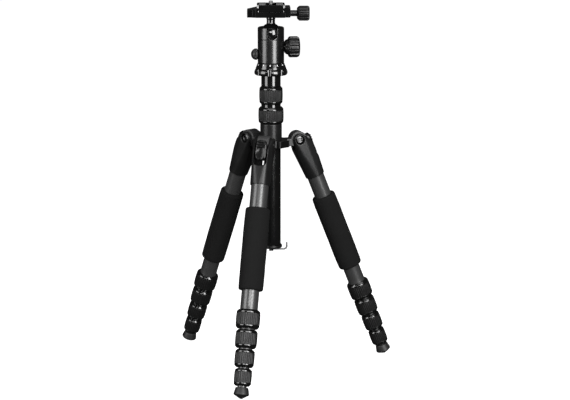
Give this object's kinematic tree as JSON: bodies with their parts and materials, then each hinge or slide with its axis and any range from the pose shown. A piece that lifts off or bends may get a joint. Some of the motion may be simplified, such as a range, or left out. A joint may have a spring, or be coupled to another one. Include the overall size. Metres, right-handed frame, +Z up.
{
  "type": "tripod with ball head",
  "caption": "Folding travel tripod with telescoping twist-lock legs, foam grips, a two-stage centre column, a ball head and a quick-release plate.",
  "frame": {"origin": "on the floor, at the centre of the outline of the three feet", "axes": "+Z up; the front leg points along -Y and the other two lie symmetrically either side of the YZ plane; +Z is also the direction of the camera screw"},
  "size_m": [0.328, 0.287, 0.5368],
  "materials": {
    "carbon": "satin carbon-fibre weave",
    "casting": "satin black",
    "lug": "grey painted casting",
    "foam": "fine closed-cell foam",
    "collar": "ribbed rubber between gloss rings",
    "column": "gloss black anodised",
    "head": "gloss black anodised",
    "knob": "matt black",
    "steel": "bright",
    "rubber": "matt black",
    "cup": "off-white nylon"
  },
  "bodies": {
    "spider": {"spider": "lug", "pivot_bolts": "steel"},
    "front_upper_leg": {"front_leg_casting": "casting", "front_leg_foam_grip": "foam", "front_leg_tube_1": "carbon"},
    "front_lock": {"front_leg_angle_lock": "casting"},
    "front_twist_1": {"front_leg_collar_1": "collar"},
    "front_twist_2": {"front_leg_collar_2": "collar"},
    "front_twist_3": {"front_leg_collar_3": "collar"},
    "front_twist_4": {"front_leg_collar_4": "collar"},
    "front_section_2": {"front_leg_tube_2": "carbon"},
    "front_section_3": {"front_leg_tube_3": "carbon"},
    "front_section_4": {"front_leg_tube_4": "carbon"},
    "front_section_5": {"front_leg_tube_5": "carbon", "front_leg_foot": "rubber"},
    "right_upper_leg": {"right_leg_casting": "casting", "right_leg_foam_grip": "foam", "right_leg_tube_1": "carbon"},
    "right_lock": {"right_leg_angle_lock": "casting"},
    "right_twist_1": {"right_leg_collar_1": "collar"},
    "right_twist_2": {"right_leg_collar_2": "collar"},
    "right_twist_3": {"right_leg_collar_3": "collar"},
    "right_twist_4": {"right_leg_collar_4": "collar"},
    "right_section_2": {"right_leg_tube_2": "carbon"},
    "right_section_3": {"right_leg_tube_3": "carbon"},
    "right_section_4": {"right_leg_tube_4": "carbon"},
    "right_section_5": {"right_leg_tube_5": "carbon", "right_leg_foot": "rubber"},
    "left_upper_leg": {"left_leg_casting": "casting", "left_leg_foam_grip": "foam", "left_leg_tube_1": "carbon"},
    "left_lock": {"left_leg_angle_lock": "casting"},
    "left_twist_1": {"left_leg_collar_1": "collar"},
    "left_twist_2": {"left_leg_collar_2": "collar"},
    "left_twist_3": {"left_leg_collar_3": "collar"},
    "left_twist_4": {"left_leg_collar_4": "collar"},
    "left_section_2": {"left_leg_tube_2": "carbon"},
    "left_section_3": {"left_leg_tube_3": "carbon"},
    "left_section_4": {"left_leg_tube_4": "carbon"},
    "left_section_5": {"left_leg_tube_5": "carbon", "left_leg_foot": "rubber"},
    "lower_column_twist": {"lower_column_collar": "collar"},
    "lower_column": {"lower_column_tube": "column", "end_cap": "rubber"},
    "upper_column_twist": {"upper_column_collar": "collar"},
    "upper_column": {"upper_column_tube": "carbon", "mounting_disc": "head", "pan_base": "head"},
    "hook": {"weight_hook": "steel"},
    "head": {"head_body": "head", "ball_cup": "cup"},
    "main_knob": {"main_knob": "knob"},
    "pan_knob": {"pan_knob": "knob"},
    "ball": {"ball": "head"},
    "clamp": {"plate_clamp": "head"},
    "jaw": {"clamp_jaw": "head"},
    "clamp_knob": {"clamp_knob": "knob"},
    "plate": {"release_plate": "head", "plate_pads": "rubber"},
    "screw": {"camera_screw": "steel"}
  },
  "joints": [
    {"name": "front_leg_fold", "type": "hinge", "parent": "spider", "child": "front_upper_leg", "pos_m": [0, 0.00405, 0.33572], "axis": [-1, 0, 0], "range_deg": [-21.8, 140]},
    {"name": "front_lock_slide", "type": "slide", "parent": "front_upper_leg", "child": "front_lock", "axis": [0, -0.3714, -0.9285], "range_m": [0, 0.006], "stiffness_N_per_m": 300},
    {"name": "front_twist_1_turn", "type": "hinge", "parent": "front_upper_leg", "child": "front_twist_1", "pos_m": [0, -0.09418, 0.1036], "axis": [0, -0.3714, -0.9285], "range_deg": [0, 120]},
    {"name": "front_section_2_slide", "type": "slide", "parent": "front_upper_leg", "child": "front_section_2", "axis": [0, -0.3714, -0.9285], "range_m": [0, 0.19]},
    {"name": "front_twist_2_turn", "type": "hinge", "parent": "front_section_2", "child": "front_twist_2", "pos_m": [0, -0.10451, 0.07777], "axis": [0, -0.3714, -0.9285], "range_deg": [0, 120]},
    {"name": "front_section_3_slide", "type": "slide", "parent": "front_section_2", "child": "front_section_3", "axis": [0, -0.3714, -0.9285], "range_m": [0, 0.19]},
    {"name": "front_twist_3_turn", "type": "hinge", "parent": "front_section_3", "child": "front_twist_3", "pos_m": [0, -0.11457, 0.05263], "axis": [0, -0.3714, -0.9285], "range_deg": [0, 120]},
    {"name": "front_section_4_slide", "type": "slide", "parent": "front_section_3", "child": "front_section_4", "axis": [0, -0.3714, -0.9285], "range_m": [0, 0.19]},
    {"name": "front_twist_4_turn", "type": "hinge", "parent": "front_section_4", "child": "front_twist_4", "pos_m": [0, -0.12434, 0.02818], "axis": [0, -0.3714, -0.9285], "range_deg": [0, 120]},
    {"name": "front_section_5_slide", "type": "slide", "parent": "front_section_4", "child": "front_section_5", "axis": [0, -0.3714, -0.9285], "range_m": [0, 0.19]},
    {"name": "right_leg_fold", "type": "hinge", "parent": "spider", "child": "right_upper_leg", "pos_m": [0.03464, 0.06405, 0.33572], "axis": [0.5, -0.866, 0], "range_deg": [-21.8, 140]},
    {"name": "right_lock_slide", "type": "slide", "parent": "right_upper_leg", "child": "right_lock", "axis": [0.3216, 0.1857, -0.9285], "range_m": [0, 0.006], "stiffness_N_per_m": 300},
    {"name": "right_twist_1_turn", "type": "hinge", "parent": "right_upper_leg", "child": "right_twist_1", "pos_m": [0.11971, 0.11316, 0.1036], "axis": [0.3216, 0.1857, -0.9285], "range_deg": [0, 120]},
    {"name": "right_section_2_slide", "type": "slide", "parent": "right_upper_leg", "child": "right_section_2", "axis": [0.3216, 0.1857, -0.9285], "range_m": [0, 0.19]},
    {"name": "right_twist_2_turn", "type": "hinge", "parent": "right_section_2", "child": "right_twist_2", "pos_m": [0.12866, 0.11833, 0.07777], "axis": [0.3216, 0.1857, -0.9285], "range_deg": [0, 120]},
    {"name": "right_section_3_slide", "type": "slide", "parent": "right_section_2", "child": "right_section_3", "axis": [0.3216, 0.1857, -0.9285], "range_m": [0, 0.19]},
    {"name": "right_twist_3_turn", "type": "hinge", "parent": "right_section_3", "child": "right_twist_3", "pos_m": [0.13736, 0.12336, 0.05263], "axis": [0.3216, 0.1857, -0.9285], "range_deg": [0, 120]},
    {"name": "right_section_4_slide", "type": "slide", "parent": "right_section_3", "child": "right_section_4", "axis": [0.3216, 0.1857, -0.9285], "range_m": [0, 0.19]},
    {"name": "right_twist_4_turn", "type": "hinge", "parent": "right_section_4", "child": "right_twist_4", "pos_m": [0.14583, 0.12824, 0.02818], "axis": [0.3216, 0.1857, -0.9285], "range_deg": [0, 120]},
    {"name": "right_section_5_slide", "type": "slide", "parent": "right_section_4", "child": "right_section_5", "axis": [0.3216, 0.1857, -0.9285], "range_m": [0, 0.19]},
    {"name": "left_leg_fold", "type": "hinge", "parent": "spider", "child": "left_upper_leg", "pos_m": [-0.03464, 0.06405, 0.33572], "axis": [0.5, 0.866, 0], "range_deg": [-21.8, 140]},
    {"name": "left_lock_slide", "type": "slide", "parent": "left_upper_leg", "child": "left_lock", "axis": [-0.3216, 0.1857, -0.9285], "range_m": [0, 0.006], "stiffness_N_per_m": 300},
    {"name": "left_twist_1_turn", "type": "hinge", "parent": "left_upper_leg", "child": "left_twist_1", "pos_m": [-0.11971, 0.11316, 0.1036], "axis": [-0.3216, 0.1857, -0.9285], "range_deg": [0, 120]},
    {"name": "left_section_2_slide", "type": "slide", "parent": "left_upper_leg", "child": "left_section_2", "axis": [-0.3216, 0.1857, -0.9285], "range_m": [0, 0.19]},
    {"name": "left_twist_2_turn", "type": "hinge", "parent": "left_section_2", "child": "left_twist_2", "pos_m": [-0.12866, 0.11833, 0.07777], "axis": [-0.3216, 0.1857, -0.9285], "range_deg": [0, 120]},
    {"name": "left_section_3_slide", "type": "slide", "parent": "left_section_2", "child": "left_section_3", "axis": [-0.3216, 0.1857, -0.9285], "range_m": [0, 0.19]},
    {"name": "left_twist_3_turn", "type": "hinge", "parent": "left_section_3", "child": "left_twist_3", "pos_m": [-0.13736, 0.12336, 0.05263], "axis": [-0.3216, 0.1857, -0.9285], "range_deg": [0, 120]},
    {"name": "left_section_4_slide", "type": "slide", "parent": "left_section_3", "child": "left_section_4", "axis": [-0.3216, 0.1857, -0.9285], "range_m": [0, 0.19]},
    {"name": "left_twist_4_turn", "type": "hinge", "parent": "left_section_4", "child": "left_twist_4", "pos_m": [-0.14583, 0.12824, 0.02818], "axis": [-0.3216, 0.1857, -0.9285], "range_deg": [0, 120]},
    {"name": "left_section_5_slide", "type": "slide", "parent": "left_section_4", "child": "left_section_5", "axis": [-0.3216, 0.1857, -0.9285], "range_m": [0, 0.19]},
    {"name": "lower_column_twist_turn", "type": "hinge", "parent": "spider", "child": "lower_column_twist", "pos_m": [0, 0.04405, 0.36012], "axis": [0, 0, 1], "range_deg": [0, 120]},
    {"name": "lower_column_slide", "type": "slide", "parent": "spider", "child": "lower_column", "axis": [0, 0, 1], "range_m": [0, 0.14]},
    {"name": "upper_column_twist_turn", "type": "hinge", "parent": "lower_column", "child": "upper_column_twist", "pos_m": [0, 0.04405, 0.38832], "axis": [0, 0, 1], "range_deg": [0, 120]},
    {"name": "upper_column_slide", "type": "slide", "parent": "lower_column", "child": "upper_column", "axis": [0, 0, 1], "range_m": [0, 0.13]},
    {"name": "hook_fold", "type": "hinge", "parent": "lower_column", "child": "hook", "pos_m": [0, 0.04405, 0.17392], "axis": [-0.2419, 0.9703, 0], "range_deg": [0, 90]},
    {"name": "head_pan", "type": "hinge", "parent": "upper_column", "child": "head", "pos_m": [0, 0.04405, 0.44852], "axis": [0, 0, 1], "continuous": true},
    {"name": "main_knob_turn", "type": "hinge", "parent": "head", "child": "main_knob", "pos_m": [0.01785, 0.05055, 0.47062], "axis": [0.9397, 0.342, 0], "range_deg": [0, 270]},
    {"name": "pan_knob_turn", "type": "hinge", "parent": "head", "child": "pan_knob", "pos_m": [-0.01785, 0.03755, 0.46072], "axis": [-0.9397, -0.342, 0], "range_deg": [0, 270]},
    {"name": "ball_tilt", "type": "hinge", "parent": "head", "child": "ball", "pos_m": [0, 0.04405, 0.49042], "axis": [-0.9397, -0.342, 0], "range_deg": [-90, 22]},
    {"name": "ball_spin", "type": "hinge", "parent": "ball", "child": "clamp", "pos_m": [0, 0.04405, 0.49042], "axis": [0, 0, 1], "continuous": true},
    {"name": "clamp_knob_turn", "type": "hinge", "parent": "jaw", "child": "clamp_knob", "pos_m": [0.02911, 0.05131, 0.51902], "axis": [0.9703, 0.2419, 0], "range_deg": [0, 900]},
    {"name": "jaw_slide", "type": "slide", "parent": "clamp", "child": "jaw", "axis": [0.9703, 0.2419, 0], "range_m": [0, 0.00314]},
    {"name": "plate_slide", "type": "slide", "parent": "clamp", "child": "plate", "axis": [-0.2419, 0.9703, 0], "range_m": [-0.02, 0.02]},
    {"name": "camera_screw_turn", "type": "hinge", "parent": "plate", "child": "screw", "pos_m": [0, 0.04405, 0.53242], "axis": [0, 0, 1], "continuous": true}
  ],
  "couplings": [
    {"joint": "clamp_knob_turn", "follows": "jaw_slide", "rad_per_m": 5000}
  ]
}
